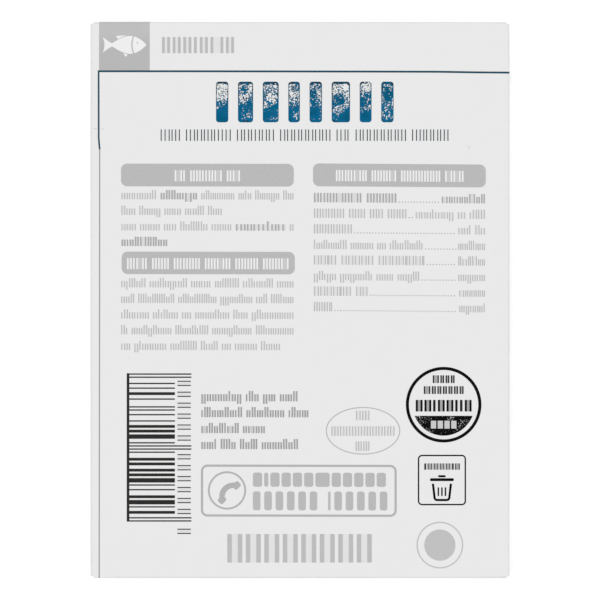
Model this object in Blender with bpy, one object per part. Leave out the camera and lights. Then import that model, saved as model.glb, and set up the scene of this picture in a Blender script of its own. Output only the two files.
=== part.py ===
"""A shut folding carton for chilled fish, lying flat with its printed back panel up.

The carton is one blank of paperboard, folded and glued into a closed block. Its two ends are
shut by outer flaps that hang from the back panel, one board thickness proud of the flaps beneath.
One side panel is glued over a tab, so that its raw edge makes a low step along the front fold.

Metres, +Z up out of the back panel, +Y towards the head of the print, origin under the middle.
"""

import math

import bmesh
import bpy
from mathutils import Matrix, Vector

# Driving dimensions of the closed carton
WIDTH = 0.0885
LENGTH = 0.1175
DEPTH = 0.030

# The board and its folds
BOARD = 0.0004
LONG_FOLD = 0.0006
END_FOLD = 0.0005
UPRIGHT_FOLD = 0.0005
FOLD_SEGMENTS = 5

# How far the contents push each kind of wall out at its middle
SIDE_BOW = 0.00035
END_BOW = 0.00020

# Outer end flap: clear strip beside it at the back fold, how much it narrows, clear strip below
FLAP_SIDE_GAP = 0.0006
FLAP_TAPER = 0.0013
FLAP_FOOT_GAP = 0.0016
FLAP_CORNER = 0.0022
FLAP_CORNER_STEPS = 6

# Height of the raw edge of the glued side panel above the front panel
SEAM_HEIGHT = 0.0014

# Steepest turn between two faces that is still drawn as one smooth surface
SMOOTH_TURN = math.radians(30)

# Widest stretch between two lines of the mesh on a panel, and how far cutters reach past it
PANEL_STEP = 0.0085
CUTTER_REACH = 0.002

BOARD_GREY = (0.815, 0.815, 0.815, 1.0)


def clear_scene():
    """Empty the scene, keeping the file that is open."""
    for obj in list(bpy.data.objects):
        bpy.data.objects.remove(obj, do_unlink=True)


def paperboard():
    """Matte coated board: pale grey, not metallic, rough enough to give no mirror image."""
    material = bpy.data.materials.new("paperboard")
    material.use_nodes = True
    shader = material.node_tree.nodes["Principled BSDF"]
    shader.inputs["Base Color"].default_value = BOARD_GREY
    shader.inputs["Roughness"].default_value = 0.55
    shader.inputs["Metallic"].default_value = 0.0
    return material


def linked_object(name, bm):
    """Put a finished bmesh into the scene as a named object."""
    bmesh.ops.recalc_face_normals(bm, faces=bm.faces)
    mesh = bpy.data.meshes.new(name)
    bm.to_mesh(mesh)
    bm.free()
    obj = bpy.data.objects.new(name, mesh)
    bpy.context.scene.collection.objects.link(obj)
    return obj


def hump(position, span):
    """1 in the middle of a span centred on zero, falling as a parabola to 0 at its ends."""
    return 1.0 - (2.0 * position / span) ** 2


def cut_into_panels(bm, axis, span, middle):
    """Cut the block across one axis into equal stretches no longer than PANEL_STEP."""
    stretches = math.ceil(span / PANEL_STEP)
    normal = Vector([float(i == axis) for i in range(3)])
    for i in range(1, stretches):
        offset = middle - span / 2 + span * i / stretches
        everything = bm.verts[:] + bm.edges[:] + bm.faces[:]
        bmesh.ops.bisect_plane(bm, geom=everything, plane_co=normal * offset, plane_no=normal)


def bow_walls(bm):
    """Push the four standing walls out, each most at its middle and not at its folds."""
    for vert in bm.verts:
        x, y, z = vert.co
        rise = hump(z - DEPTH / 2, DEPTH)
        if abs(abs(x) - WIDTH / 2) < BOARD / 2:
            vert.co.x += math.copysign(SIDE_BOW, x) * rise * hump(y, LENGTH)
        if abs(abs(y) - LENGTH / 2) < BOARD / 2:
            vert.co.y += math.copysign(END_BOW, y) * rise * hump(x, WIDTH)


def fold_radius(edge):
    """Radius of the fold that this edge of the plain block lies on, or 0 for an edge on a panel."""
    middle = (edge.verts[0].co + edge.verts[1].co) / 2
    at_side = abs(abs(middle.x) - WIDTH / 2) < BOARD / 2
    at_end = abs(abs(middle.y) - LENGTH / 2) < BOARD / 2
    at_panel = abs(abs(middle.z - DEPTH / 2) - DEPTH / 2) < BOARD / 2
    if at_side and at_panel:
        return LONG_FOLD
    if at_end and at_panel:
        return END_FOLD
    if at_side and at_end:
        return UPRIGHT_FOLD
    return 0.0


def carton_block():
    """The closed carton before its flaps are marked out: a block with bowed walls."""
    bm = bmesh.new()
    size = Matrix.Diagonal((WIDTH, LENGTH, DEPTH, 1.0))
    bmesh.ops.create_cube(bm, size=1.0, matrix=Matrix.Translation((0, 0, DEPTH / 2)) @ size)
    for axis, (span, middle) in enumerate(((WIDTH, 0), (LENGTH, 0), (DEPTH, DEPTH / 2))):
        cut_into_panels(bm, axis, span, middle)
    weight = bm.edges.layers.float.new("bevel_weight_edge")
    for edge in bm.edges:
        edge[weight] = fold_radius(edge) / LONG_FOLD
    bow_walls(bm)
    return linked_object("carton", bm)


def flap_outline():
    """Outer end flap from fold to fold, as (x, z) points down one side, across and up the other."""
    top = WIDTH / 2 - FLAP_SIDE_GAP
    foot = top - FLAP_TAPER
    corner = Vector((foot - FLAP_CORNER, FLAP_FOOT_GAP + FLAP_CORNER))
    right = [Vector((top, DEPTH + CUTTER_REACH)), Vector((top, DEPTH - END_FOLD))]
    for i in range(FLAP_CORNER_STEPS + 1):
        turn = math.radians(90) * i / FLAP_CORNER_STEPS
        right.append(corner + FLAP_CORNER * Vector((math.cos(turn), -math.sin(turn))))
    left = [Vector((-point.x, point.y)) for point in reversed(right)]
    return right + left


def prism(name, outline, start, end):
    """Solid between the planes y = start and y = end over an outline of (x, z) points."""
    bm = bmesh.new()
    face = bm.faces.new([bm.verts.new((x, start, z)) for x, z in outline])
    grown = bmesh.ops.extrude_face_region(bm, geom=[face])["geom"]
    moved = [item for item in grown if isinstance(item, bmesh.types.BMVert)]
    bmesh.ops.translate(bm, verts=moved, vec=(0, end - start, 0))
    return linked_object(name, bm)


def end_cutter(name, side):
    """Takes one board thickness off an end face all round its outer flap: a square-cornered U."""
    reach = WIDTH / 2 + CUTTER_REACH
    outer = [
        Vector((-reach, DEPTH + CUTTER_REACH)),
        Vector((-reach, -CUTTER_REACH)),
        Vector((reach, -CUTTER_REACH)),
        Vector((reach, DEPTH + CUTTER_REACH)),
    ]
    inner_plane = side * (LENGTH / 2 - BOARD)
    outer_plane = side * (LENGTH / 2 + CUTTER_REACH)
    return prism(name, outer + flap_outline(), inner_plane, outer_plane)


def seam_cutter():
    """Takes one board thickness off the foot of the -X wall, below the glued panel's raw edge."""
    inner = -WIDTH / 2 + BOARD
    outer = -WIDTH / 2 - CUTTER_REACH
    section = [
        (inner, -CUTTER_REACH),
        (inner, SEAM_HEIGHT),
        (outer, SEAM_HEIGHT),
        (outer, -CUTTER_REACH),
    ]
    reach = LENGTH / 2 + CUTTER_REACH
    return prism("seam_cutter", section, -reach, reach)


def round_folds(obj):
    """Round every fold by its own radius, which the edge weights hold as a share of LONG_FOLD."""
    bevel = obj.modifiers.new("folds", "BEVEL")
    bevel.limit_method = "WEIGHT"
    bevel.width = LONG_FOLD
    bevel.segments = FOLD_SEGMENTS


def cut_away(obj, cutter):
    """Subtract a cutter, which is hidden and drawn as wire."""
    cutter.hide_render = True
    cutter.display_type = "WIRE"
    boolean = obj.modifiers.new(cutter.name, "BOOLEAN")
    boolean.operation = "DIFFERENCE"
    boolean.solver = "EXACT"
    boolean.object = cutter


def settle(obj):
    """Make the folded and cut shape the object's own mesh, smooth apart from its raw edges."""
    cutters = [modifier.object for modifier in obj.modifiers if modifier.type == "BOOLEAN"]
    evaluated = obj.evaluated_get(bpy.context.evaluated_depsgraph_get())
    obj.data = bpy.data.meshes.new_from_object(evaluated)
    obj.modifiers.clear()
    for cutter in cutters:
        bpy.data.objects.remove(cutter)
    obj.data.shade_smooth()
    obj.data.set_sharp_from_angle(angle=SMOOTH_TURN)


def build_carton():
    """The whole carton: its block is folded first, then the clear strips are cut into it."""
    carton = carton_block()
    carton.data.materials.append(paperboard())
    round_folds(carton)
    cut_away(carton, end_cutter("head_cutter", 1))
    cut_away(carton, end_cutter("foot_cutter", -1))
    cut_away(carton, seam_cutter())
    settle(carton)
    return carton


clear_scene()
build_carton()
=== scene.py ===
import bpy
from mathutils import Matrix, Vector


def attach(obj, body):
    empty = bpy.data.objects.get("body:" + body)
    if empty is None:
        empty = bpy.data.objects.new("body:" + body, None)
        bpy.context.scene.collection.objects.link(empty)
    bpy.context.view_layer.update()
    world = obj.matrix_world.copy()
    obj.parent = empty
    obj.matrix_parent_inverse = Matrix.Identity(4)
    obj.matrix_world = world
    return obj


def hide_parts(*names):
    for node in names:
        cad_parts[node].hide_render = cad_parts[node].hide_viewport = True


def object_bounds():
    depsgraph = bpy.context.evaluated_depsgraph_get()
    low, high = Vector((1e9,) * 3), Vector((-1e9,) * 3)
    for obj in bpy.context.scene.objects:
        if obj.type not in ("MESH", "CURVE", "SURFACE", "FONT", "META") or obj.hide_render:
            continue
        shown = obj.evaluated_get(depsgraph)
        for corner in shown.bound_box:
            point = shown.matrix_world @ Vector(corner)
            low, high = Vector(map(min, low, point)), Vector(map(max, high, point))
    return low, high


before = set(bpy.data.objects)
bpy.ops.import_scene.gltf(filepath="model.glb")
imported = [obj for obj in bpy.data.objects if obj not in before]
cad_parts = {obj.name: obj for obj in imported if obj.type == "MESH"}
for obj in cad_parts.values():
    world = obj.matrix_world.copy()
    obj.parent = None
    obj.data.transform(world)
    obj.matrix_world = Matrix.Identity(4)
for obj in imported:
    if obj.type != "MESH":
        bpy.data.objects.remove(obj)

"""Looks of a shut folding carton for chilled fish, lying with its printed back panel up.

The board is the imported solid's own form with a coated finish and raw edges. All print is ink laid
on the flat blank, in millimetres from a panel's top left corner, and then carried round the folds
by one formula, so that a rule or a field that runs off one panel goes on over the next. Rows of
words are rows of plain blocks, and every mark is made of plain shapes.
"""

import math
from collections import namedtuple

import bmesh
import bpy
import numpy as np

cad_low, cad_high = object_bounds()
scene = bpy.context.scene

# ---- driving sizes, in metres

MM = 0.001

# The closed carton as packed: how far its walls bow out, its folds and its board
SIDE_BOW = 0.35 * MM
END_BOW = 0.20 * MM
LONG_FOLD = 0.6 * MM
END_FOLD = 0.5 * MM
BOARD = 0.4 * MM
WIDTH = cad_high.x - cad_low.x - 2 * SIDE_BOW
LENGTH = cad_high.y - cad_low.y - 2 * END_BOW
DEPTH = cad_high.z - cad_low.z

# Lengths along the flat blank, from the middle of the back panel out
FLAT_HALF_WIDTH = WIDTH / 2 - LONG_FOLD
FLAT_HALF_LENGTH = LENGTH / 2 - END_FOLD
LONG_ARC = math.pi / 2 * LONG_FOLD
END_ARC = math.pi / 2 * END_FOLD
WALL = DEPTH - 2 * LONG_FOLD
WALL_TOP = FLAT_HALF_WIDTH + LONG_ARC
WALL_FOOT = WALL_TOP + WALL
FRONT_START = WALL_FOOT + LONG_ARC - LONG_FOLD

# Ink lies just proud of the board, print over print a little more, and both root inside the board
INK_LIFT = 0.03 * MM
OVERPRINT_LIFT = 0.05 * MM
INK_ROOT = 0.05 * MM

# The camera looks straight down; the frame is this wide where the back panel lies
FRAME_WIDTH = 126.74 * MM
CAMERA_RISE = 1.0
SENSOR = 36.0


# ---- the blank and its panels

Panel = namedtuple("Panel", "corner right down")


def joined(*values):
    """Some arrays or numbers side by side, along a new last axis."""
    return np.stack(np.broadcast_arrays(*values), axis=-1)


def panel(corner, right, down):
    """A place to print: its top left corner on the flat blank, and its directions there."""
    return Panel(*np.array([corner, right, down], float))


BACK = panel((-WIDTH / 2, LENGTH / 2), (1, 0), (0, -1))
RIGHT_WALL = panel((WALL_TOP, -LENGTH / 2), (0, 1), (1, 0))
LEFT_WALL = panel((-WALL_TOP, LENGTH / 2), (0, -1), (-1, 0))
HEAD_FLAP = panel((WIDTH / 2, FLAT_HALF_LENGTH + END_ARC), (-1, 0), (0, 1))
FOOT_FLAP = panel((-WIDTH / 2, -FLAT_HALF_LENGTH - END_ARC), (1, 0), (0, -1))
FRONT = panel((FRONT_START, LENGTH / 2), (1, 0), (0, -1))


def turned(place, left, bottom):
    """A place on another one, turned a quarter so that its rows read upwards from left, bottom."""
    corner = place.corner + (left * place.right + bottom * place.down) * MM
    return Panel(corner, -place.down, place.right)


def on_blank(place, points):
    """Metres on the flat blank from millimetres right and down from a panel's top left corner."""
    points = np.asarray(points, float) * MM
    return place.corner + points[..., :1] * place.right + points[..., 1:] * place.down


def hump(position, span):
    """1 in the middle of a span centred on zero, falling as a parabola to 0 at its ends."""
    return 1 - (2 * position / span) ** 2


def wrap(blank, lift):
    """Points of the flat blank laid round the closed carton.

    Going across, a point stays on the back panel up to the fold's start, turns through a quarter
    circle of LONG_FOLD, runs straight down the wall, turns under through a second quarter circle
    and runs back below. Going along, it does the same once, by END_FOLD, down an end flap. Walls
    bow out by a parabola in height times a parabola in length. Lift is added along the normal.
    """
    across, up = np.moveaxis(np.abs(blank), -1, 0)
    turn = np.clip(across - FLAT_HALF_WIDTH, 0, LONG_ARC) / LONG_FOLD
    down = np.clip(across - WALL_TOP, 0, WALL)
    under = np.clip(across - WALL_FOOT, 0, LONG_ARC) / LONG_FOLD
    below = np.maximum(across - WALL_FOOT - LONG_ARC, 0)
    tip = np.clip(up - FLAT_HALF_LENGTH, 0, END_ARC) / END_FOLD
    fall = np.maximum(up - FLAT_HALF_LENGTH - END_ARC, 0)
    x = np.minimum(across, FLAT_HALF_WIDTH) + LONG_FOLD * (np.sin(turn) - 1 + np.cos(under)) - below
    y = np.minimum(up, FLAT_HALF_LENGTH) + END_FOLD * np.sin(tip)
    z = DEPTH - LONG_FOLD * (1 - np.cos(turn) + np.sin(under)) - down
    z = z - END_FOLD * (1 - np.cos(tip)) - fall
    rise = hump(z - DEPTH / 2, DEPTH)
    x = x + SIDE_BOW * rise * hump(y, LENGTH) * np.sin(turn) * np.cos(under)
    y = y + END_BOW * rise * hump(x, WIDTH) * np.sin(tip)
    side = turn + under
    x = (x + lift * np.sin(side)) * np.where(blank[..., 0] < 0, -1, 1)
    y = (y + lift * np.sin(tip)) * np.where(blank[..., 1] < 0, -1, 1)
    return joined(x, y, z + lift * np.cos(side) * np.cos(tip))


# ---- flat shapes, in millimetres

# Longest straight piece of a line, and the pieces in each corner of a frame or a bent line
LINE_PIECE = 1.5
FRAME_STEPS = 8
EASED_STEPS = 6


def spokes(angle):
    """Points one unit from the middle at these angles, from the first axis to the second."""
    return joined(np.cos(angle), np.sin(angle))


def rounded(boxes, radius, steps=2):
    """Outlines of boxes (left, top, right, bottom) with quarter circles of radius at the corners."""
    boxes = np.array(boxes, float, ndmin=2)
    half = (boxes[:, 2:] - boxes[:, :2]) / 2
    radius = np.minimum(radius, half.min(axis=1))[:, None]
    quarter = np.linspace(0, math.pi / 2, steps + 1)
    outline = []
    for turns, side in enumerate(((1, 1), (-1, 1), (-1, -1), (1, -1))):
        corner = boxes[:, :2] + half + (half - radius) * side
        outline.append(corner[:, None] + radius[:, None] * spokes(quarter + turns * math.pi / 2))
    return np.concatenate(outline, axis=1)


def arc(middle, radii, start, end, count):
    """Points of an ellipse about middle from one angle to another, in degrees, 0 right, 90 down."""
    return np.array(middle) + spokes(np.radians(np.linspace(start, end, count))) * radii


def circle(middle, radii, count=48):
    """A whole ellipse, its first point not repeated."""
    return arc(middle, radii, 0, 360, count + 1)[:-1]


Column = namedtuple("Column", "angle pivot")
LEVEL = Column(0.0, 0.0)
LEFT_COLUMN = Column(math.radians(0.10), 6.5)
RIGHT_COLUMN = Column(math.radians(0.40), 47.2)


def lean(points, column):
    """Tips rows a little clockwise: each point sinks by its distance from the pivot times tan."""
    sunk = np.array(points, float)
    sunk[..., 1] += math.tan(column.angle) * (sunk[..., 0] - column.pivot)
    return sunk


def fold_places(flat_half, arc_length, start):
    """Millimetres from a panel's edge at which a line across it bends over the folds on both sides.

    The bends are 15 degrees apart, and start is the edge's own place on the blank.
    """
    bends = flat_half + arc_length * np.linspace(0, 1, 7)
    return (np.concatenate([-bends, bends]) - start) / MM


ACROSS_BENDS = fold_places(FLAT_HALF_WIDTH, LONG_ARC, -WIDTH / 2)
UNDER_BENDS = fold_places(WALL_FOOT, LONG_ARC, -WIDTH / 2)
ALONG_BENDS = fold_places(FLAT_HALF_LENGTH, END_ARC, -LENGTH / 2)


def run(start, end, bends, step=LINE_PIECE):
    """Places from start to end no more than step apart, with all the bends between them."""
    even = np.linspace(start, end, int(abs(end - start) / step) + 2)
    between = bends[(bends > min(start, end)) & (bends < max(start, end))]
    places = np.union1d(even, between)
    return places if end > start else places[::-1]


def along(points):
    """The given points, with each straight run between two of them cut into equal pieces."""
    points = np.asarray(points, float)
    runs = np.linalg.norm(np.diff(points, axis=0), axis=1)
    knots = np.cumsum([0, *np.ceil(runs / LINE_PIECE)])
    places = np.arange(knots[-1] + 1)
    return joined(*(np.interp(places, knots, values) for values in points.T))


def unit(vectors):
    """Vectors, one to a row, brought to a length of one."""
    return vectors / np.linalg.norm(vectors, axis=1, keepdims=True)


def eased(points, radius):
    """An open path whose inner corners are parabolas that start and end at radius from them.

    With p before the corner c and q after it: (1 - t)^2 p + 2 t (1 - t) c + t^2 q.
    """
    points = np.asarray(points, float)
    ahead = radius * unit(np.diff(points, axis=0))[:, None]
    corner = points[1:-1, None]
    before = corner - ahead[:-1]
    after = corner + ahead[1:]
    t = np.linspace(0, 1, EASED_STEPS + 1)[None, :, None]
    curves = (1 - t) ** 2 * before + 2 * t * (1 - t) * corner + t ** 2 * after
    return np.concatenate([points[:1], curves.reshape(-1, 2), points[-1:]])


# ---- thin closed layers of ink

Layer = namedtuple("Layer", "points quads fans inward level")


def ring_quads(rings, around, start=0):
    """Four-cornered faces between rings of around points each, from the point start on."""
    step = np.arange(around)
    after = (step + 1) % around
    near = start + np.arange(rings - 1)[:, None] * around
    far = near + around
    return joined(near + step, far + step, far + after, near + after).reshape(-1, 4)


def fan(middle, around, start=0):
    """Three-cornered faces from a middle point to a ring of around points."""
    step = np.arange(around)
    return joined(middle, start + step, start + (step + 1) % around)


def slabs(place, outlines, lift=INK_LIFT, rings=1):
    """One closed layer of ink over each outline; all have the same count of points.

    The top is a grid of ring by point: ring k lies k / rings of the way from the middle to the
    outline. The last ring goes on down into the board, and a fan closes the underside. inward is
    1 in the middle of the top and 0 at its rim, and level is 1 at its head and 0 at its foot.
    """
    outlines = np.array(outlines, float, ndmin=3)
    count, around, _ = outlines.shape
    middle = outlines.mean(axis=1, keepdims=True)
    share = np.arange(1, rings + 1) / rings
    grid = middle[:, None] + (outlines - middle)[:, None] * share[:, None, None]
    top = np.concatenate([middle, grid.reshape(count, -1, 2)], axis=1)
    foot = np.concatenate([outlines, middle], axis=1)
    heights = np.repeat([lift, -INK_ROOT], [top.shape[1], foot.shape[1]])
    flat = np.concatenate([top, foot], axis=1)
    points = wrap(on_blank(place, flat), heights)

    each = flat.shape[1]
    start = np.arange(count)[:, None, None] * each
    under = fan(each - 1, around, each - 1 - around)[:, ::-1]
    quads = (start + ring_quads(rings + 1, around, 1)).reshape(-1, 4)
    fans = (start + np.concatenate([fan(0, around, 1), under])).reshape(-1, 3)

    inward = np.concatenate([[1.0], np.repeat(1 - share, around), np.zeros(around + 1)])
    rows = flat[..., 1]
    level = (rows.max(axis=1, keepdims=True) - rows) / np.ptp(rows, axis=1, keepdims=True)
    return Layer(points.reshape(-1, 3), quads, fans, np.tile(inward, count), level.ravel())


def sheet(place, grid, closed=False, lift=INK_LIFT):
    """One closed layer of ink over a grid of points, whose lines run across the layer.

    Each line's section is a flat loop, over the top and back underneath. The loops are joined
    along the grid, and quads from the top down shut each end, so that a curved end stays curved.
    """
    top = wrap(on_blank(place, grid), lift)
    foot = wrap(on_blank(place, grid), -INK_ROOT)
    points = np.concatenate([top, foot[:, ::-1]], axis=1)
    length, each, _ = points.shape
    quads = ring_quads(length + closed, each) % (length * each)
    if not closed:
        near = np.arange(each // 2 - 1)
        cap = joined(near, near + 1, each - 2 - near, each - 1 - near)
        quads = np.concatenate([quads, cap, cap[:, ::-1] + (length - 1) * each])
    rim = 1 - np.abs(2 * np.linspace(0, 1, each // 2) - 1)
    inward = np.tile(np.concatenate([rim, np.zeros(each // 2)]), length)
    fans = np.zeros((0, 3), int)
    return Layer(points.reshape(-1, 3), quads, fans, inward, np.full(length * each, 0.5))


def band(place, one, other, closed=False, across=1):
    """A sheet between two edge lines with the same count of points, in equal steps across."""
    share = np.linspace(0, 1, across + 1)[:, None]
    return sheet(place, one[:, None] + (other - one)[:, None] * share, closed)


def stroke(place, path, width, closed=False):
    """A line of ink: a band whose edges lie half the width to each side of a path's points."""
    around = np.roll(path, -1, axis=0) - np.roll(path, 1, axis=0)
    ahead = unit(around if closed else np.gradient(path, axis=0))
    aside = joined(-ahead[:, 1], ahead[:, 0]) * width / 2
    return band(place, path - aside, path + aside, closed)


def framed(place, box, radius, width, column=LEVEL):
    """A round-cornered frame of ink whose outer edge is the box."""
    half = np.array([width, width, -width, -width]) / 2
    outline = rounded(np.array(box) + half, radius - width / 2, FRAME_STEPS)[0]
    path = along(np.concatenate([outline, outline[:1]]))[:-1]
    return stroke(place, lean(path, column), width, closed=True)


def placed(name, data):
    """A named object for a mesh, lamp or camera, put into the scene."""
    obj = bpy.data.objects.new(name, data)
    scene.collection.objects.link(obj)
    return obj


def ink_piece(name, ink, layers):
    """Joins layers into one mesh in one ink, faces outwards, which rides with the carton."""
    starts = np.cumsum([0] + [len(layer.points) for layer in layers[:-1]])
    points = np.concatenate([layer.points for layer in layers])
    faces = []
    for start, layer in zip(starts, layers):
        faces += (start + layer.quads).tolist() + (start + layer.fans).tolist()
    mesh = bpy.data.meshes.new(name)
    mesh.from_pydata(points, [], faces)
    for field in ("inward", "level"):
        values = np.concatenate([getattr(layer, field) for layer in layers])
        mesh.attributes.new(field, "FLOAT", "POINT").data.foreach_set("value", values)
    bm = bmesh.new()
    bm.from_mesh(mesh)
    bmesh.ops.recalc_face_normals(bm, faces=bm.faces)
    bm.to_mesh(mesh)
    bm.free()
    mesh.materials.append(INK[ink])
    obj = placed(name, mesh)
    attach(obj, "root")


# ---- blocks in place of words

# Sizes of a row in millimetres: width of a letter's cell, heights of tall and low letters, how far
# some drop below the line, the gap between letters, and the width of their darker uprights. A row
# that isn't spaced is one word
Type = namedtuple("Type", "pitch tall low drop gap stem spaced", defaults=[True])


def capitals(pitch, height, gap, stem, spaced=True):
    """A type whose letters are all of one height and stand on the line."""
    return Type(pitch, height, height, 0.0, gap, stem, spaced)


SMALL = Type(0.97, 1.98, 1.38, 0.50, 0.26, 0.19)
SMALL_DARKER = SMALL._replace(stem=0.28)
SMALL_DIGIT = SMALL._replace(stem=0.21)
SMALL_WORD = SMALL._replace(pitch=1.04, gap=0.24, stem=0.33, spaced=False)
ADDRESS = Type(1.08, 2.18, 1.50, 0.55, 0.27, 0.24)
SMALL_CAPS = capitals(1.23, 1.98, 0.30, 0.20)
SMALL_BOLD = capitals(1.27, 2.00, 0.26, 0.31)
HEADING = capitals(1.17, 2.35, 0.26, 0.32)
SUBTITLE = capitals(1.35, 2.45, 0.40, 0.20)
CATEGORY = capitals(2.17, 3.40, 0.55, 0.59, spaced=False)
FOOT_ROW = capitals(3.90, 6.00, 0.75, 0.95, spaced=False)
OVAL_ROW = capitals(1.30, 2.05, 0.34, 0.20, spaced=False)
SEAL_SMALL = capitals(1.25, 1.65, 0.32, 0.27, spaced=False)
SEAL_LARGE = capitals(1.55, 2.45, 0.38, 0.45, spaced=False)
SORTING_ROW = capitals(1.05, 1.35, 0.28, 0.19, spaced=False)
HELP_WORD = capitals(2.35, 3.00, 0.42, 0.0, spaced=False)
HELP_WORDS = capitals(2.15, 4.00, 0.80, 0.0)

# Shares of a cell's width and how often each comes, a space's width, and how long words are
CELL_WIDTHS = (0.55, 1.0, 1.45)
CELL_SHARES = (0.16, 0.70, 0.14)
SPACE_WIDTH = 0.62
WORD_LENGTHS = (2, 9)
TALL_SHARE = 0.26
DROP_SHARE = 0.10

# A block this many uprights wide has two of them, and from the second width on three
PAIRED_BLOCK = 2.2
WIDE_BLOCK = 5.5

# Rounding of a block's corners, as a share of a tall one, and of an upright's
BLOCK_ROUND = 0.03
UPRIGHT_ROUND = 0.05


def letters(draw, style, left, right, line):
    """Blocks (left, top, right, bottom) in place of one row of words, on the line given.

    The row is cut into cells, as many as the pitch gives. Each cell's width is drawn, a narrow
    one is left empty after each word of a drawn length, and all are then stretched alike to end
    at the right. Heights and drops below the line are drawn too.
    """
    count = max(1, round((right - left) / style.pitch))
    cells = draw.choice(CELL_WIDTHS, count, p=CELL_SHARES)
    breaks = np.cumsum(draw.integers(*WORD_LENGTHS, count) + 1) - 1
    empty = np.zeros(count, bool)
    if style.spaced:
        empty[breaks[breaks < count - 2]] = True
    cells[empty] = SPACE_WIDTH
    cells = cells / cells.sum() * (right - left + style.gap)
    ends = left + np.cumsum(cells)
    starts = ends - cells
    tall = draw.random(count) < TALL_SHARE
    drop = ~tall & (draw.random(count) < DROP_SHARE)
    tops = line - np.where(tall, style.tall, style.low)
    feet = line + np.where(drop, style.drop, 0.0)
    return joined(starts, tops, ends - style.gap, feet)[~empty]


def uprights(style, blocks):
    """The darker uprights at both sides of each block, and one more in the middle of a wide one."""
    left, top, right, foot = blocks.T
    width = right - left
    middle = (left + right) / 2
    stem = np.minimum(style.stem, width)
    first = joined(left, top, left + stem, foot)
    last = joined(right - stem, top, right, foot)[width > PAIRED_BLOCK * style.stem]
    extra = joined(middle - stem / 2, top, middle + stem / 2, foot)[width > WIDE_BLOCK * style.stem]
    return np.concatenate([first, last, extra])


def typed(draw, place, style, spans, column=LEVEL, lift=INK_LIFT):
    """Two layers for rows over spans of (left, right, line): blocks, and uprights just over them."""
    blocks = np.concatenate([letters(draw, style, *span) for span in spans])
    stems = uprights(style, blocks)
    body = slabs(place, lean(rounded(blocks, BLOCK_ROUND * style.tall), column), lift)
    over = lift + OVERPRINT_LIFT - INK_LIFT
    return body, slabs(place, lean(rounded(stems, UPRIGHT_ROUND, 1), column), over)


def typed_piece(draw, name, inks, rows):
    """Two pieces for some typed rows: their blocks in one ink and their uprights in another."""
    pairs = [typed(draw, *row) for row in rows]
    for part, ink, layers in zip(("_blocks", "_uprights"), inks, zip(*pairs)):
        ink_piece(name + part, ink, layers)


# ---- materials

def linear(hex_colour):
    """Linear RGBA from an sRGB hex value such as #E9E9E9."""
    shares = np.array([int(hex_colour[i:i + 2], 16) / 255 for i in (1, 3, 5)])
    values = np.where(shares <= 0.04045, shares / 12.92, ((shares + 0.055) / 1.055) ** 2.4)
    return (*values.tolist(), 1.0)


def feed(node, inputs):
    """Feeds a node's inputs with sockets, colours in hex or plain values."""
    for name, value in inputs.items():
        if isinstance(value, bpy.types.NodeSocket):
            node.id_data.links.new(value, node.inputs[name])
        else:
            node.inputs[name].default_value = linear(value) if isinstance(value, str) else value


def add(tree, kind, inputs=None, **settings):
    """Adds one node, with its settings and what feeds its inputs."""
    node = tree.nodes.new(kind)
    for name, value in settings.items():
        setattr(node, name, value)
    feed(node, inputs or {})
    return node


def new_material(name):
    """A named material and its object coordinates, in metres."""
    material = bpy.data.materials.new(name)
    material.use_nodes = True
    return material, add(material.node_tree, "ShaderNodeTexCoord").outputs["Object"]


def own(place, name):
    """A value that the mesh itself carries under this name."""
    return add(place.id_data, "ShaderNodeAttribute", attribute_name=name).outputs["Fac"]


def noise(place, size, detail=2.0, roughness=0.5):
    """Grey noise whose clouds are about size metres across."""
    inputs = {"Vector": place, "Scale": 1.0 / size, "Detail": detail, "Roughness": roughness}
    return add(place.id_data, "ShaderNodeTexNoise", inputs).outputs["Fac"]


def spread(value, low, high, to_low=0.0, to_high=1.0):
    """Maps a value from one span to another and holds it at the ends."""
    inputs = {"Value": value, "From Min": low, "From Max": high, "To Min": to_low, "To Max": to_high}
    return add(value.id_data, "ShaderNodeMapRange", inputs).outputs["Result"]


def blend(share, one, other):
    """Mixes two colours, each a hex value or a socket, by a share."""
    colours = {0: share, 6: one, 7: other}
    return add(share.id_data, "ShaderNodeMix", colours, data_type="RGBA").outputs[2]


def combined(operation, *values):
    """Some values added or multiplied, one after the other."""
    whole = values[0]
    for value in values[1:]:
        inputs = {0: whole, 1: value}
        whole = add(value.id_data, "ShaderNodeMath", inputs, operation=operation).outputs[0]
    return whole


def finish(material, body, height, depth=0.006 * MM, strength=0.3, roughness=0.6, mirror=0.03):
    """Gives a material its colour, relief in metres, roughness and share of mirror light."""
    tree = material.node_tree
    bump = add(tree, "ShaderNodeBump", {"Strength": strength, "Distance": depth, "Height": height})
    feed(tree.nodes["Principled BSDF"], {
        "Normal": bump.outputs["Normal"],
        "Base Color": body,
        "Roughness": roughness,
        "Specular IOR Level": mirror,
    })
    return material


def fibres(place):
    """The board's fibres, which show through ink as well."""
    return noise(place, 0.22 * MM, 3.0, 0.6)


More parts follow.
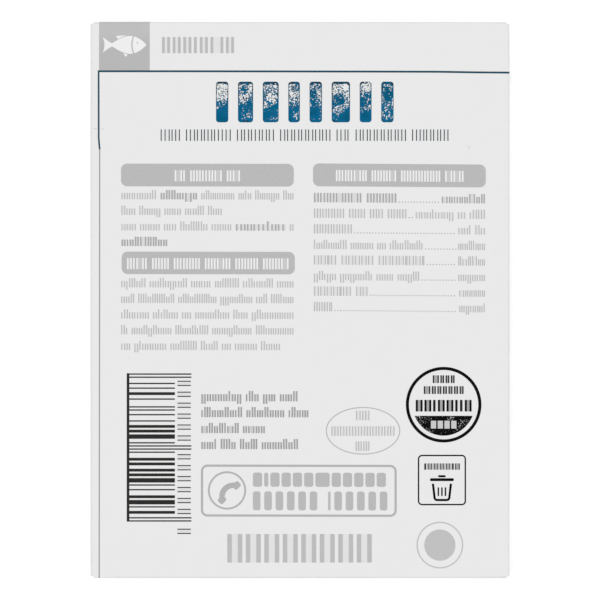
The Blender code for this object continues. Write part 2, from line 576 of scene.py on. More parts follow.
def coated_board():
    """Folding boxboard, clay coated and matt varnished: an even grey white with no mirror image.

    Clouds of 7 mm are the fibres' formation under the coating, streaks are faint rubs from other
    packs, and the folds are whiter: a trace where the coating has opened, the rest painted light
    that lifts the shade on a rounded fold.
    """
    material, place = new_material("matt_coated_boxboard")
    clouds = spread(noise(place, 7.0 * MM), 0.3, 0.7)
    drawn_out = {"Vector": place, "Rotation": (0, 0, 0.35), "Scale": (1, 0.06, 1)}
    streaks = add(place.id_data, "ShaderNodeMapping", drawn_out).outputs["Vector"]
    rubs = spread(noise(streaks, 0.45 * MM, 3.0), 0.66, 0.78, 0.0, 0.5)
    patches = spread(noise(place, 24.0 * MM), 0.5, 0.62)
    # Partly painted light: the folds' whitening is opened coating and also a painted lift of their
    # shade
    cracks_and_painted_light = spread(noise(place, 0.5 * MM, 4.0), 0.42, 0.62, 0.25, 0.9)
    body = blend(clouds, "#E8E8E8", "#EAEAEA")
    body = blend(combined("MULTIPLY", rubs, patches), body, "#E2E2E2")
    body = blend(combined("MULTIPLY", own(place, "fold"), cracks_and_painted_light), body, "#F5F5F4")
    rough = spread(clouds, 0, 1, 0.52, 0.60)
    return finish(material, body, fibres(place), 0.008 * MM, 0.35, rough, mirror=0.25)


def raw_board_edge():
    """The cut edge of boxboard: a soft, dull cream core of mechanical pulp with short fibres."""
    material, place = new_material("raw_boxboard_edge")
    pulp = noise(place, 0.12 * MM, 3.0, 0.7)
    body = blend(spread(pulp, 0.35, 0.65), "#C9C3B6", "#DEDACF")
    return finish(material, body, pulp, 0.02 * MM, 0.5, 0.85, mirror=0.5)


def film(place, colour, thin):
    """An even film of offset ink: thin is its colour in its thinnest clouds, of 0.6 mm."""
    return blend(spread(noise(place, 0.6 * MM, 3.0, 0.6), 0.45, 0.75), colour, thin)


def offset_ink(name, colour, thin):
    """Sheet-fed offset ink under matt varnish, over the board's fibres."""
    material, place = new_material(name)
    return finish(material, film(place, colour, thin), fibres(place))


def strip_ink():
    """The strip's grey: an offset ink whose film gains a trace over 2.6 mm towards the rule."""
    material, place = new_material("offset_ink_strip_grey")
    height = add(place.id_data, "ShaderNodeSeparateXYZ", {"Vector": place}).outputs["Y"]
    gained = spread(height, LENGTH / 2 - 4.9 * MM, LENGTH / 2 - 2.3 * MM, 1.0, 0.0)
    body = blend(gained, film(place, "#C0C0C0", "#C4C4C4"), "#B9B9B9")
    return finish(material, body, fibres(place))


def specked_ink():
    """Black offset ink over a wide field: specks of 0.24 mm in thin clouds of 1.6 mm were missed."""
    material, place = new_material("offset_ink_black_specked")
    specks = noise(place, 0.24 * MM)
    clouds = spread(noise(place, 1.6 * MM, 1.0), 0.4, 0.7, -0.06, 0.08)
    missed = spread(combined("ADD", specks, clouds), 0.62, 0.70)
    return finish(material, blend(missed, "#080808", "#C8C8C8"), specks)


def stamped_ink():
    """Blue ink of a worn rubber stamp: full at the foot of each block, broken into specks above.

    Specks of 0.34 mm are lost where a cloud of 2.8 mm is thin, and show the board. Ink that is
    left inside a worn patch, as the rim and as stray grains of 0.26 mm, has gathered and is darker.
    """
    material, place = new_material("worn_stamp_ink_blue")
    specks = noise(place, 0.34 * MM, 2.0, 0.55)
    clouds = noise(place, 2.8 * MM, 1.0)
    thin = spread(clouds, 0.36, 0.64, -0.13, 0.13)
    worn = combined("ADD", specks, thin, spread(own(place, "level"), 0.0, 1.0, -0.15, 0.13))
    rim = spread(own(place, "inward"), 0.06, 0.14, -0.30, 0.0)
    grains = spread(noise(place, 0.26 * MM, 1.0), 0.56, 0.61, 0.0, -0.30)
    lost = spread(combined("ADD", worn, rim, grains), 0.535, 0.565)
    full = blend(spread(clouds, 0.3, 0.7), "#03597C", "#086C9A")
    gathered = blend(spread(worn, 0.48, 0.56), full, "#1E3C4C")
    return finish(material, blend(lost, gathered, "#E8E9E9"), specks, 0.01 * MM, roughness=0.65)


def white_sweep():
    """A white paper sweep under studio lamps, lit through from below like a light table."""
    material, place = new_material("white_paper_sweep")
    feed(material.node_tree.nodes["Principled BSDF"], {
        "Base Color": blend(noise(place, 0.08), "#FBFBFB", "#FDFDFD"),
        "Roughness": 0.9,
        "Specular IOR Level": 0.2,
        "Emission Color": (1, 1, 1, 1),
        "Emission Strength": 0.13,
    })
    return material


# Plain inks: the film's colour and its thinnest clouds'. A tint is named for its share of full grey.
OFFSET_INKS = {
    "mid_grey": ("#BABABA", "#BFBFBF"),
    "mark_grey": ("#C1C1C1", "#C6C6C6"),
    "line_grey": ("#B3B3B3", "#B8B8B8"),
    "rule_grey": ("#989898", "#A0A0A0"),
    "tint_12": ("#E3E3E3", "#E5E5E5"),
    "tint_16": ("#E0E0E0", "#E2E2E2"),
    "tint_22": ("#DADADA", "#DDDDDD"),
    "tint_26": ("#CECECE", "#D2D2D2"),
    "tint_36": ("#BDBDBD", "#C2C2C2"),
    "tint_42": ("#B7B7B7", "#BDBDBD"),
    "tint_50": ("#ABABAB", "#B1B1B1"),
    "tint_56": ("#979797", "#9D9D9D"),
    "knock_out_tint": ("#CACACA", "#CECECE"),
    "slate": ("#23495A", "#2C5363"),
    "slate_tint": ("#E3E5E6", "#E6E7E8"),
    "slate_dark": ("#2A3237", "#333B40"),
    "black": ("#070707", "#0E0E0E"),
    "warm_black": ("#2B2A29", "#343332"),
    "black_tint": ("#A6A6A6", "#ADADAD"),
}
INK = {name: offset_ink("offset_ink_" + name, *greys) for name, greys in OFFSET_INKS.items()}
INK["bare"] = offset_ink("varnished_bare_board", "#F0F0F0", "#F2F2F2")
INK["scuff"] = offset_ink("rubbed_board", "#DDDDDD", "#E0E0E0")
INK.update(strip=strip_ink(), specked_black=specked_ink(), blue=stamped_ink())

# Inks of a row's blocks and of its uprights
PALE_INKS = ("tint_12", "tint_36")
SMALL_INKS = ("tint_16", "tint_42")
BOLD_INKS = ("tint_22", "tint_50")
ADDRESS_INKS = ("tint_26", "tint_56")
SLATE_INKS = ("slate_tint", "slate_dark")
BLACK_INKS = ("black_tint", "black")
BARE_INKS = ("knock_out_tint", "bare")


# ---- the board itself

def read(elements, field):
    """One vector for each vertex or face of a mesh, as rows."""
    values = np.zeros(len(elements) * 3)
    elements.foreach_get(field, values)
    return values.reshape(-1, 3)


def carton_board():
    """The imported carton's form, merged and shaded smooth up to its raw edges.

    fold is how far a point's normal leans from the nearest axis: 0 on a panel, most on a fold. A
    face is a raw edge where it stands in a step of one board thickness: round an outer flap, or
    at the foot of the glued wall.
    """
    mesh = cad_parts["carton"].data.copy()
    mesh.materials.clear()
    bm = bmesh.new()
    bm.from_mesh(mesh)
    bmesh.ops.remove_doubles(bm, verts=bm.verts, dist=0.001 * MM)
    bm.to_mesh(mesh)
    bm.free()
    mesh.name = "carton_board"
    mesh.shade_smooth()
    mesh.set_sharp_from_angle(angle=math.radians(30))
    mesh.materials.append(coated_board())
    mesh.materials.append(raw_board_edge())

    leaning = 1 - np.abs(read(mesh.vertices, "normal")).max(axis=1)
    fold = mesh.attributes.new("fold", "FLOAT", "POINT")
    fold.data.foreach_set("value", np.clip(leaning * 4, 0, 1))

    x, y, z = read(mesh.polygons, "center").T
    _, along_facing, up_facing = read(mesh.polygons, "normal").T
    near_end = (np.abs(y) > LENGTH / 2 - BOARD * 0.98) & (np.abs(x) < WIDTH / 2 - BOARD * 0.2)
    between_panels = (z > 0.02 * MM) & (z < DEPTH - 0.02 * MM)
    in_flap_step = near_end & between_panels & (np.abs(along_facing) < 0.2)
    in_seam = (up_facing < -0.8) & (z > 0.5 * MM) & (x < 0)
    mesh.polygons.foreach_set("material_index", (in_flap_step | in_seam).astype(np.int32))

    obj = placed("carton_board", mesh)
    flatten = obj.modifiers.new("flat panels", "WEIGHTED_NORMAL")
    flatten.keep_sharp = True
    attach(obj, "root")
    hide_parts("carton")


# ---- head of the back panel

# The slate rule's height at places across the panel: it sinks a trace from left to right
RULE_PLACES = (20.0, 60.0, 74.0, 81.0, 88.5)
RULE_HEIGHTS = (10.43, 10.50, 10.54, 10.66, 10.72)
RULE_WIDTH = 0.40
RULE_END = 204.0

# The strip, from the flap's foot down to the slate rule, and its head on the front panel
STRIP_LEFT = 1.80
STRIP_RIGHT = 12.51
STRIP_FOOT = RULE_HEIGHTS[0] - RULE_WIDTH / 2
STRIP_END = -27.6
STRIP_STEP = 1.0
FRONT_STRIP = (STRIP_LEFT, 0.6, STRIP_RIGHT, RULE_HEIGHTS[-1] - RULE_WIDTH / 2)

# The side rule's distance from the panel's left edge: slate, then grey, then leaning out
UPRIGHT_RULE = 1.71
UPRIGHT_WIDTH = 0.36
UPRIGHT_TURN = (1.73, 24.5)
FOOT_RULE = 1.93
FOOT_RULE_WIDTH = 0.24
FOOT_RULE_PLACES = (26.9, 58.0, 112.0)
FOOT_RULE_LEAN = (0.0, 0.015, 0.095)
FOOT_RULE_END = 139.5

# The outer end flap: half its width at the fold, its taper, its rounded foot, the height that the
# fold takes up, and the clear board at its edge
FLAP_HALF = 43.65
FLAP_TAPER = 1.30
FLAP_FOOT = 1.60
FLAP_CORNER = 2.20
FLAP_FOLD = 0.3
FLAP_CLEAR = 0.1


def flap_edge(rows):
    """Millimetres from the panel's left edge to the flap's own edge, for rows above the panel.

    The edge leans in by the taper down to the corner, then follows a quarter circle.
    """
    full = DEPTH / MM
    height = full + np.minimum(rows, 0) - FLAP_FOLD
    corner = FLAP_FOOT + FLAP_CORNER
    share = np.clip((full - height) / (full - corner), 0, 1)
    below = np.clip(corner - height, 0, FLAP_CORNER)
    half = FLAP_HALF - FLAP_TAPER * share - FLAP_CORNER + np.sqrt(FLAP_CORNER ** 2 - below ** 2)
    return WIDTH / MM / 2 - half


# The pale fish on the strip: its left end, its length, and its middle on each panel
FISH_LEFT = 2.58
FISH_LENGTH = 9.22
FISH_MIDDLES = ((BACK, 4.85), (FRONT, 4.95))

# In ninths of the fish: where its tail joins, its nose, half the gap at its gill, the fins' gap
FISH_ROOT = 1.95
FISH_NOSE = 8.97
GILL_GAP = 0.13
FIN_GAP = 0.16


def category_strip():
    """The grey strip that comes over the head fold and down to the rule, with a pale fish on it."""
    rows = run(STRIP_FOOT, STRIP_END, ALONG_BENDS, STRIP_STEP)
    left = joined(np.maximum(STRIP_LEFT, flap_edge(rows) + FLAP_CLEAR), rows)
    ink_piece("category_strips", "strip", [
        band(BACK, left, joined(STRIP_RIGHT, rows), across=4),
        slabs(FRONT, rounded(FRONT_STRIP, 0.05)),
    ])
    fishes = [fish(place, middle) for place, middle in FISH_MIDDLES]
    ink_piece("category_fish", "bare", [shape for shapes, _ in fishes for shape in shapes])
    ink_piece("category_fish_eyes", "strip", [eye for _, eye in fishes])


def fish(place, middle):
    """A plain fish that swims to the right, in five sheets, and its eye.

    Lengths are in ninths of the fish. Half the body's height at a share t from tail to nose is
    1.75 sin(pi t ** 1.15) ** 0.85, and a curved gap parts trunk from head. The tail flares out to
    a scooped edge, and the fins are low humps that stand off the body.
    """
    ninth = FISH_LENGTH / 9
    across = np.linspace(-1, 1, 13)[None]
    share = np.linspace(0, 1, 21)[:, None]
    bulge = 1 - across ** 2

    def half_height(x):
        t = np.clip((x - 1.75) / 7.25, 0.0, 1.0)
        return 1.75 * np.sin(math.pi * t ** 1.15) ** 0.85 + 0.20 * (1 - t)

    def shape(x, y):
        return sheet(place, joined(FISH_LEFT + ninth * x, middle + ninth * y), lift=OVERPRINT_LIFT)

    gill = 6.36 - 0.34 * bulge
    trunk = FISH_ROOT + (gill - GILL_GAP - FISH_ROOT) * share
    head = (gill + GILL_GAP) * (1 - share) + FISH_NOSE * share
    tail = 0.34 * bulge * (1 - share) + FISH_ROOT * share
    flare = half_height(FISH_ROOT) + 1.30 * (1 - share) ** 1.2
    back = 3.1 + 1.7 * share
    out = (1 + across) / 2
    back_fin = -half_height(back) - FIN_GAP - 0.62 * (1 - share * 0.9) ** 1.3 * out
    belly = 4.3 + 0.8 * share
    hang = (0.10 + 0.42 * np.sin(math.pi * share)) * out
    shapes = [
        shape(trunk, across * half_height(trunk)),
        shape(head, across * half_height(head)),
        shape(tail, across * flare),
        shape(back - 0.35 * out, back_fin),
        shape(belly, half_height(belly) + FIN_GAP + hang),
    ]
    eye = circle((FISH_LEFT + ninth * 7.15, middle - ninth * 0.40), 0.16 * ninth, 12)
    return shapes, slabs(place, eye, OVERPRINT_LIFT + 0.02 * MM)


def rules():
    """The slate rule across the head of the panel, and the thin rule down its left side.

    The slate rule goes on over the fold, down the wall and across the panel below. The left rule
    is slate down to the text and grey from there on.
    """
    bends = np.concatenate([ACROSS_BENDS, UNDER_BENDS])
    across = run(UPRIGHT_RULE - UPRIGHT_WIDTH / 2, RULE_END, bends)
    level = joined(across, np.interp(across, RULE_PLACES, RULE_HEIGHTS))
    start = (UPRIGHT_RULE, RULE_HEIGHTS[0] + RULE_WIDTH / 2)
    drop = along([start, UPRIGHT_TURN, (FOOT_RULE, FOOT_RULE_PLACES[0])])
    layers = [stroke(BACK, level, RULE_WIDTH), stroke(BACK, drop, UPRIGHT_WIDTH)]
    ink_piece("head_rule", "slate", layers)
    rows = run(FOOT_RULE_PLACES[0], FOOT_RULE_END, ALONG_BENDS)
    foot = joined(FOOT_RULE - np.interp(rows, FOOT_RULE_PLACES, FOOT_RULE_LEAN), rows)
    ink_piece("side_rule", "rule_grey", [stroke(BACK, foot, FOOT_RULE_WIDTH)])


# Faint rubs, as middles, radii and points: two in from the left edge, one right of the title
SCUFFS = (
    ((0.95, 22.57), (0.50, 0.16), 20),
    ((2.50, 22.62), (0.42, 0.13), 20),
    ((80.0, 26.5), (0.24, 0.32), 16),
)


def scuffs():
    """Faint rubs on the back panel."""
    ink_piece("scuffs", "scuff", [slabs(BACK, circle(*scuff)) for scuff in SCUFFS])


# A title's blocks, the span of their widths and their rounding as a share of the height, then
# its box and the gap between blocks, here and on the other panels
TITLE_BLOCKS = 8
TITLE_WIDTHS = (0.75, 1.25)
TITLE_ROUND = 0.07
TITLE = (BACK, (26.51, 12.62, 64.01, 21.22), 2.05)
OTHER_TITLES = (
    (RIGHT_WALL, (36, 5.5, 80, 14.5), 2.3),
    (LEFT_WALL, (34, 5.5, 78, 14.5), 2.3),
    (HEAD_FLAP, (20, 6.0, 62, 14.0), 2.2),
    (FOOT_FLAP, (22, 6.0, 66, 14.0), 2.2),
    (FRONT, (13, 17.0, 75, 31.0), 3.3),
)


def stamped_row(draw, place, box, gap):
    """A row of rounded blocks of drawn widths that fills its box."""
    left, top, right, foot = box
    widths = draw.uniform(*TITLE_WIDTHS, TITLE_BLOCKS)
    widths = widths / widths.sum() * (right - left - gap * (TITLE_BLOCKS - 1))
    ends = left + np.cumsum(widths) + gap * np.arange(TITLE_BLOCKS)
    boxes = joined(ends - widths, top, ends, foot)
    return slabs(place, rounded(boxes, TITLE_ROUND * (foot - top), 5), rings=8)


def title():
    """The large worn stamp on the back panel, and the smaller ones on the other panels."""
    draw = np.random.default_rng(11)
    ink_piece("title_stamp", "blue", [stamped_row(draw, *TITLE)])
    ink_piece("other_title_stamps", "blue", [stamped_row(draw, *row) for row in OTHER_TITLES])


# ---- rows of words

def lines(first, step, spans):
    """Spans of (line, left, right) as (left, right, height), with the lines a step apart."""
    return [(left, right, first + step * line) for line, left, right in spans]


LINE_STEP = 3.29
LEFT_TEXT = lines(37.48, LINE_STEP, [
    (0, 6.55, 13.8), (0, 23.4, 42.85), (1, 6.55, 27.7), (2, 6.55, 29.8), (2, 42.1, 42.85),
])
LEFT_TEXT += lines(56.08, 3.305, [(line, 6.50, 42.85) for line in range(4)] + [(4, 6.50, 40.0)])
LEFT_WORDS = lines(37.48, LINE_STEP, [(0, 14.8, 22.5), (2, 30.7, 41.2), (3, 6.55, 16.2)])

# The table, from the ends of its names and the starts of its values
TABLE_LEFT = 47.2
TABLE_RIGHT = 83.3
NAME_ENDS = (64.6, 66.7, 55.2, 70.2, 70.5, 69.4, 58.5, 51.0)
VALUE_STARTS = (74.2, 68.7, 77.7, 77.7, 77.7, 77.7, 77.9, 77.9)
NAMES = lines(38.10, LINE_STEP, [(row, TABLE_LEFT, end) for row, end in enumerate(NAME_ENDS)])
VALUES = lines(38.10, LINE_STEP, [(row, start, TABLE_RIGHT) for row, start in enumerate(VALUE_STARTS)])
HIGH_NAMES = [NAMES[row] for row in (1, 2, 4, 6, 7)]
LOW_NAMES = [NAMES[row] for row in (3, 5)]

# By the seed of their draws: the pieces' names and inks, and each row's place, type, spans as
# (left, right, line), column and lift
ROWS = {
    21: [
        ("category_words", PALE_INKS, [
            (BACK, CATEGORY, [(15.1, 30.3, 6.60)]),
            (FRONT, CATEGORY, [(15.1, 30.3, 6.60)]),
        ]),
        ("subtitles", SLATE_INKS, [
            (BACK, SUBTITLE, [(14.83, 75.6, 25.15)]),
            (RIGHT_WALL, SUBTITLE, [(27, 89, 19.2)]),
            (LEFT_WALL, SUBTITLE, [(25, 87, 19.2)]),
            (HEAD_FLAP, SUBTITLE, [(12, 70, 18.4)]),
            (FOOT_FLAP, SUBTITLE, [(15, 73, 18.4)]),
            (FRONT, SUBTITLE, [(12, 76, 36.0)]),
        ]),
    ],
    31: [("heading_pill_words", BARE_INKS, [
        (BACK, HEADING, [(17.77, 31.58, 33.66)], LEFT_COLUMN, OVERPRINT_LIFT),
        (BACK, HEADING, [(7.71, 41.83, 52.22)], LEFT_COLUMN, OVERPRINT_LIFT),
        (BACK, HEADING, [(51.82, 78.86, 33.60)], RIGHT_COLUMN, OVERPRINT_LIFT),
    ])],
    41: [
        ("left_text", SMALL_INKS, [(BACK, SMALL, LEFT_TEXT, LEFT_COLUMN)]),
        ("left_bold_text", BOLD_INKS, [(BACK, SMALL_WORD, LEFT_WORDS, LEFT_COLUMN)]),
    ],
    51: [
        ("table", SMALL_INKS, [
            (BACK, SMALL_CAPS, HIGH_NAMES, RIGHT_COLUMN),
            (BACK, SMALL, LOW_NAMES + VALUES[1:], RIGHT_COLUMN),
        ]),
        ("table_head", BOLD_INKS, [
            (BACK, SMALL_BOLD, NAMES[:1], RIGHT_COLUMN),
            (BACK, SMALL_DARKER, VALUES[:1], RIGHT_COLUMN),
        ]),
    ],
    71: [("address", ADDRESS_INKS, [
        (BACK, ADDRESS, lines(80.10, 3.37, [
            (0, 23.43, 43.7), (1, 23.43, 46.0), (2, 23.43, 36.8), (3, 23.43, 43.8),
        ]), LEFT_COLUMN),
    ])],
    87: [("foot_row", PALE_INKS, [(BACK, FOOT_ROW, [(28.9, 59.4, 114.2)])])],
    91: [("oval_rows", SMALL_INKS, [
        (BACK, OVAL_ROW, [(56.1, 58.9, 84.15), (50.9, 64.2, 87.45), (56.0, 58.9, 90.65)]),
    ])],
    111: [("sorting_row", BLACK_INKS, [(BACK, SORTING_ROW, [(70.5, 78.0, 94.6)])])],
    121: [("other_text", SMALL_INKS, [
        (RIGHT_WALL, SMALL, [(27, 89, 23.2), (27, 80, 26.4)]),
        (LEFT_WALL, SMALL, [(25, 87, 23.2), (25, 74, 26.4)]),
        (HEAD_FLAP, SMALL, [(12, 70, 22.4)]),
        (FOOT_FLAP, SMALL, [(15, 73, 22.4)]),
        (FRONT, SMALL, [(8, 42, 100.0), (8, 40, 103.3), (8, 30, 106.6)]),
    ])],
}


def rows_of_words():
    """Every row of plain blocks, apart from the helpline's and the seal's."""
    for seed, pieces in ROWS.items():
        draw = np.random.default_rng(seed)
        for piece in pieces:
            typed_piece(draw, *piece)


# ---- the two columns

PILL_RADIUS = 1.27
PILLS = (
    (LEFT_COLUMN, (6.44, 29.93, 42.94, 34.73)),
    (LEFT_COLUMN, (6.57, 48.52, 43.16, 53.27)),
    (RIGHT_COLUMN, (47.0, 29.89, 83.5, 34.72)),
)


def pills():
    """The three grey pills behind the headings."""
    layers = [slabs(BACK, lean(rounded(box, PILL_RADIUS, 6), column)) for column, box in PILLS]
    ink_piece("heading_pills", "mid_grey", layers)


# Leader dots: step, size, height over the line, and the gaps before and after
LEADER_STEP = 0.634
LEADER_DOT = 0.27
LEADER_RISE = 0.04
LEADER_START = 0.5
LEADER_STOP = 0.6


def leaders():
    """A line of dots from each name in the table to its value."""
    dots = []
    for (_, name_end, line), (value_start, _, _) in zip(NAMES, VALUES):
        starts = np.arange(name_end + LEADER_START, value_start - LEADER_STOP, LEADER_STEP)
        foot = line - LEADER_RISE
        boxes = joined(starts, foot - LEADER_DOT, starts + LEADER_DOT, foot)
        dots.append(slabs(BACK, lean(rounded(boxes, LEADER_DOT / 2, 3), RIGHT_COLUMN)))
    ink_piece("table_leaders", "tint_50", dots)


# ---- foot of the back panel

# The bar code runs from top to foot: its spine, the ends of its bars and of its guards
CODE_TOP = 74.21
CODE_FOOT = 105.56
CODE_LEFT = 7.65
CODE_SPINE = 0.55
CODE_BARS_END = 17.83
CODE_GUARDS_END = 21.31
BAR_LOSS = 0.045

# Modules to a digit and a guard, and the shares of a digit's spare modules in the first half
MODULES_PER_DIGIT = 7
DIGITS_PER_HALF = 6
GUARD_MODULES = 3
CENTRE_MODULES = 5
SPACE_THEN_BAR = (0.32, 0.18, 0.32, 0.18)

# The row of digits reads upwards; one of them stands before the bars
DIGITS_TOP = 18.35
DIGIT_WIDTH = 1.10
DIGIT_HEIGHT = 2.85
LEAD_DIGIT = -2.6


def bar_code():
    """A spine with bars off it, guards at both ends and the middle, and blocks for the digits.

    Between the guards, each seven modules are parted at random into two spaces and two bars, so
    that the stripes stand for no number. Each bar is narrower than its modules by BAR_LOSS.
    """
    draw = np.random.default_rng(64)
    widths = []
    ends = []
    for guard, shares in ((GUARD_MODULES, SPACE_THEN_BAR), (CENTRE_MODULES, SPACE_THEN_BAR[::-1])):
        parts = 1 + draw.multinomial(MODULES_PER_DIGIT - 4, shares, DIGITS_PER_HALF).ravel()
        widths += [1] * guard + parts.tolist()
        ends += [CODE_GUARDS_END] * guard + [CODE_BARS_END] * len(parts)
    widths = np.array(widths + [1] * GUARD_MODULES)
    ends = np.array(ends + [CODE_GUARDS_END] * GUARD_MODULES)
    module = (CODE_FOOT - CODE_TOP) / widths.sum()
    feet = CODE_TOP + np.cumsum(widths) * module
    edge = CODE_LEFT + CODE_SPINE
    boxes = joined(edge, feet - widths * module + BAR_LOSS, ends, feet)[::2]
    boxes = np.vstack([boxes, (CODE_LEFT, CODE_TOP, edge, CODE_FOOT)])
    ink_piece("code_bars", "warm_black", [slabs(BACK, rounded(boxes, 0.03, 1))])

    column = turned(BACK, DIGITS_TOP, CODE_FOOT)
    digit = MODULES_PER_DIGIT * module
    first = GUARD_MODULES * module + digit * (np.arange(DIGITS_PER_HALF) + 0.5) - DIGIT_WIDTH / 2
    second = first + DIGITS_PER_HALF * digit + CENTRE_MODULES * module
    starts = np.concatenate([[LEAD_DIGIT], first, second])
    blocks = joined(starts, 0.0, starts + DIGIT_WIDTH, DIGIT_HEIGHT)
    stems = rounded(uprights(SMALL_DIGIT, blocks), UPRIGHT_ROUND, 1)
    ink_piece("code_digit_blocks", "tint_16", [slabs(column, rounded(blocks, 0.12))])
    ink_piece("code_digit_uprights", "warm_black", [slabs(column, stems, OVERPRINT_LIFT)])


# The helpline's frame, its handset in a ring, and its two rows
HELP_BOX = (23.32, 93.47, 64.68, 104.46)
HELP_CORNER = 1.37
HELP_LINE = 0.465
HELP_ICON = (28.84, 98.97)
HANDSET_SIZE = 2.25
HELP_RING = 3.85
HELP_RING_LINE = 0.40
HELP_ROWS = ((HELP_WORD, (34.3, 62.4, 98.15)), (HELP_WORDS, (34.3, 62.7, 103.12)))
HELP_ROUND = 0.5


def helpline():
    """A rounded frame with a ringed telephone handset and two rows of heavy blocks."""
    draw = np.random.default_rng(83)
    layers = [framed(BACK, HELP_BOX, HELP_CORNER, HELP_LINE, LEFT_COLUMN)]
    layers.append(stroke(BACK, circle(HELP_ICON, HELP_RING), HELP_RING_LINE, closed=True))
    ink_piece("helpline_frame", "line_grey", layers + handset())
    rows = [rounded(letters(draw, style, *span), HELP_ROUND, 4) for style, span in HELP_ROWS]
    ink_piece("helpline_rows", "mid_grey", [slabs(BACK, lean(row, LEFT_COLUMN)) for row in rows])


def handset():
    """A telephone handset: a bowed grip between two pads, tipped 45 degrees to the left."""
    rotate = math.sqrt(0.5) * np.array([[1, -1], [1, 1]])

    def lay(points):
        return HELP_ICON + HANDSET_SIZE * (points - (0, 0.50)) @ rotate

    grip_top = arc((0, 1.25), (1.28, 1.25), 200, 340, 21)
    grip_low = arc((0, 1.25), (0.80, 0.72), 200, 340, 21)
    layers = [band(BACK, lay(grip_top), lay(grip_low))]
    for pad in rounded([(-1.32, 0.50, -0.60, 1.10), (0.60, 0.50, 1.32, 1.10)], 0.16, 4):
        layers.append(slabs(BACK, lay(pad), OVERPRINT_LIFT))
    return layers


OVAL = (57.56, 86.38)
OVAL_RADII = (7.75, 4.92)
OVAL_LINE = 0.22


def oval_mark():
    """A thin oval round three short rows."""
    line = stroke(BACK, circle(OVAL, OVAL_RADII, 72), OVAL_LINE, closed=True)
    ink_piece("oval_line", "tint_42", [line])


# The seal: its ring, its dark foot's radius and how far the foot's chord lies below the middle
SEAL = (74.59, 80.86)
SEAL_RADIUS = 7.66
SEAL_LINE = 0.66
SEAL_INNER = 6.55
SEAL_CHORD = 2.35
SEAL_ROWS = (
    (BACK, SEAL_SMALL, [(72.3, 76.9, 76.3), (70.4, 78.8, 78.6)]),
    (BACK, SEAL_LARGE, [(68.7, 80.5, 82.3)]),
)
SEAL_FOOT_SPAN = (71.9, 77.3, 85.9)


def round_seal():
    """A black seal: a ring round three rows of blocks, and a dark foot with a pale row in it."""
    draw = np.random.default_rng(101)
    low = math.degrees(math.asin(SEAL_CHORD / SEAL_INNER))
    ring = stroke(BACK, circle(SEAL, SEAL_RADIUS, 72), SEAL_LINE, closed=True)
    foot = slabs(BACK, arc(SEAL, SEAL_INNER, low, 180 - low, 36))
    ink_piece("round_seal", "black", [ring])
    ink_piece("round_seal_foot", "specked_black", [foot])
    typed_piece(draw, "round_seal_rows", BLACK_INKS, SEAL_ROWS)
    row = typed(draw, BACK, SEAL_SMALL, [SEAL_FOOT_SPAN], lift=OVERPRINT_LIFT)
    ink_piece("round_seal_foot_row", "knock_out_tint", row[:1])


# The sorting mark's frame, and the bin's sides, ribs and lid about BIN_MIDDLE
SORTING = (69.14, 91.44, 79.32, 102.11)
SORTING_CORNER = 0.9
SORTING_LINE = 0.30
BIN_MIDDLE = 74.23
BIN_SIDES = ((-1.9, 97.55), (-1.5, 101.0), (1.5, 101.0), (1.9, 97.55))
BIN_CORNER = 0.55
BIN_LINE = 0.48
BIN_RIBS = ((-0.91, 98.3, -0.59, 100.2), (-0.16, 98.3, 0.16, 100.2), (0.59, 98.3, 0.91, 100.2))
BIN_LIDS = ((-2.5, 96.4, 2.5, 97.0), (-0.8, 95.75, 0.8, 96.2))


def sorting_mark():
    """A thin round-cornered frame with a ribbed bin and its lid in it, under a short row."""
    aside = (BIN_MIDDLE, 0)
    ink_piece("sorting_mark", "black", [
        framed(BACK, SORTING, SORTING_CORNER, SORTING_LINE),
        stroke(BACK, eased(BIN_SIDES, BIN_CORNER) + aside, BIN_LINE),
        slabs(BACK, rounded(BIN_RIBS, 0.15) + aside),
        slabs(BACK, rounded(BIN_LIDS, 0.18) + aside),
    ])


DOT = (73.79, 110.52)
DOT_RING = 4.80
DOT_LINE = 0.28
DOT_DISC = 3.30


def dot_mark():
    """A pale ring round a pale disc."""
    layers = [stroke(BACK, circle(DOT, DOT_RING, 60), DOT_LINE, closed=True)]
    layers.append(slabs(BACK, circle(DOT, DOT_DISC)))
    ink_piece("dot_mark", "mark_grey", layers)


# ---- the other panels

# Bare frames for dates
DATE_FRAMES = (
    (RIGHT_WALL, (6.0, 8.0, 23.0, 21.0)),
    (LEFT_WALL, (92.0, 8.0, 109.0, 21.0)),
    (FRONT, (56.0, 95.0, 81.0, 109.0)),
)
DATE_CORNER = 1.4
DATE_LINE = 0.4

# Waves on the front panel: their ends, height and length, then each one's row and half width
WAVE_ENDS = (4.0, 84.5)
WAVE_HEIGHT = 2.0
WAVE_LENGTH = 26.8
WAVES = ((56.0, 1.10), (64.5, 0.85), (73.0, 0.60))


def other_panels():
    """Bare date frames on the walls and the front, and three waves on the front."""
    frames = [framed(place, box, DATE_CORNER, DATE_LINE) for place, box in DATE_FRAMES]
    ink_piece("date_frames", "line_grey", frames)
    across = np.linspace(*WAVE_ENDS, 90)
    swell = WAVE_HEIGHT * np.sin(2 * math.pi * across / WAVE_LENGTH)
    layers = []
    for row, half in WAVES:
        upper, lower = (joined(across, row + swell + side) for side in (-half, half))
        layers.append(band(FRONT, upper, lower, across=2))
    ink_piece("front_waves", "mark_grey", layers)


# ---- the stage

# The sweep, in metres
SWEEP_RADII = (0.2, 20.0)
SWEEP_RINGS = 12
SWEEP_POINTS = 64
SWEEP_LEVEL = -0.1 * MM


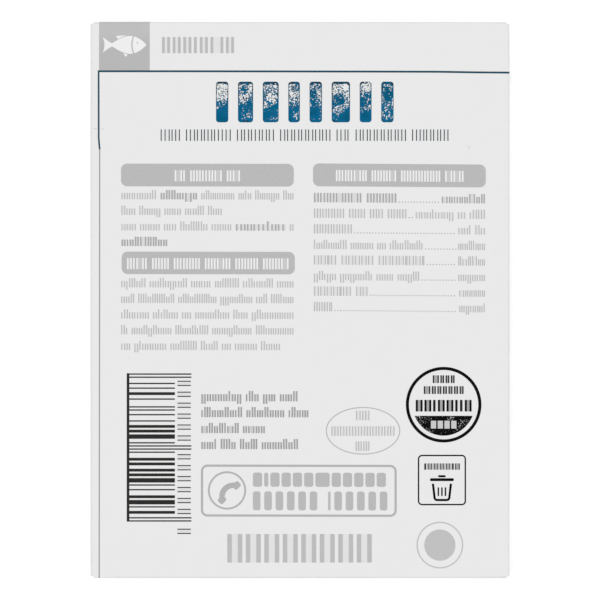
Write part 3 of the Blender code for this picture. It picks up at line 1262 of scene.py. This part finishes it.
def floor():
    """A wide level sweep, as a grid of ring by point, just under the carton."""
    turns = np.arange(SWEEP_POINTS) * 2 * math.pi / SWEEP_POINTS
    rings = np.geomspace(*SWEEP_RADII, SWEEP_RINGS)[:, None, None] * spokes(turns)
    x, y = np.concatenate([rings.reshape(-1, 2), [(0.0, 0.0)]]).T
    quads = ring_quads(SWEEP_RINGS, SWEEP_POINTS)
    middle = fan(len(x) - 1, SWEEP_POINTS)
    mesh = bpy.data.meshes.new("sweep")
    mesh.from_pydata(joined(x, y, SWEEP_LEVEL), [], quads.tolist() + middle.tolist())
    mesh.materials.append(white_sweep())
    sweep = placed("sweep", mesh)


# Shares of the light on the back panel: from all round, from overhead, and from two sides
SKY = 0.30
OVERHEAD = 0.48
KEY = 0.12
FILL = 0.08


def lamp(name, share, azimuth, from_zenith, softness):
    """A distant lamp that gives a level white surface this share of full brightness."""
    light = bpy.data.lights.new(name, "SUN")
    light.energy = share * math.pi / math.cos(math.radians(from_zenith))
    light.angle = math.radians(softness)
    placed(name, light).rotation_euler = (math.radians(from_zenith), 0, math.radians(azimuth))


def studio():
    """Pale light from all round, a lamp overhead, and soft ones from the upper left and the right."""
    world = bpy.data.worlds.new("pale room")
    world.use_nodes = True
    feed(world.node_tree.nodes["Background"], {"Color": (1, 1, 1, 1), "Strength": SKY})
    scene.world = world
    lamp("overhead", OVERHEAD, 0, 0, 14)
    lamp("key", KEY, -140, 32, 30)
    lamp("fill", FILL, 60, 36, 40)


def camera():
    """Looks straight down on the back panel from CAMERA_RISE above it, head of the print up."""
    data = bpy.data.cameras.new("camera")
    data.sensor_width = SENSOR
    data.lens = SENSOR * CAMERA_RISE / FRAME_WIDTH
    data.clip_start = 0.05
    data.clip_end = 50.0
    obj = placed("camera", data)
    obj.location = (0, 0, DEPTH + CAMERA_RISE)
    scene.camera = obj
    scene.view_settings.view_transform = "Standard"


camera()
studio()
floor()
carton_board()
category_strip()
rules()
scuffs()
title()
rows_of_words()
pills()
leaders()
bar_code()
helpline()
oval_mark()
round_seal()
sorting_mark()
dot_mark()
other_panels()
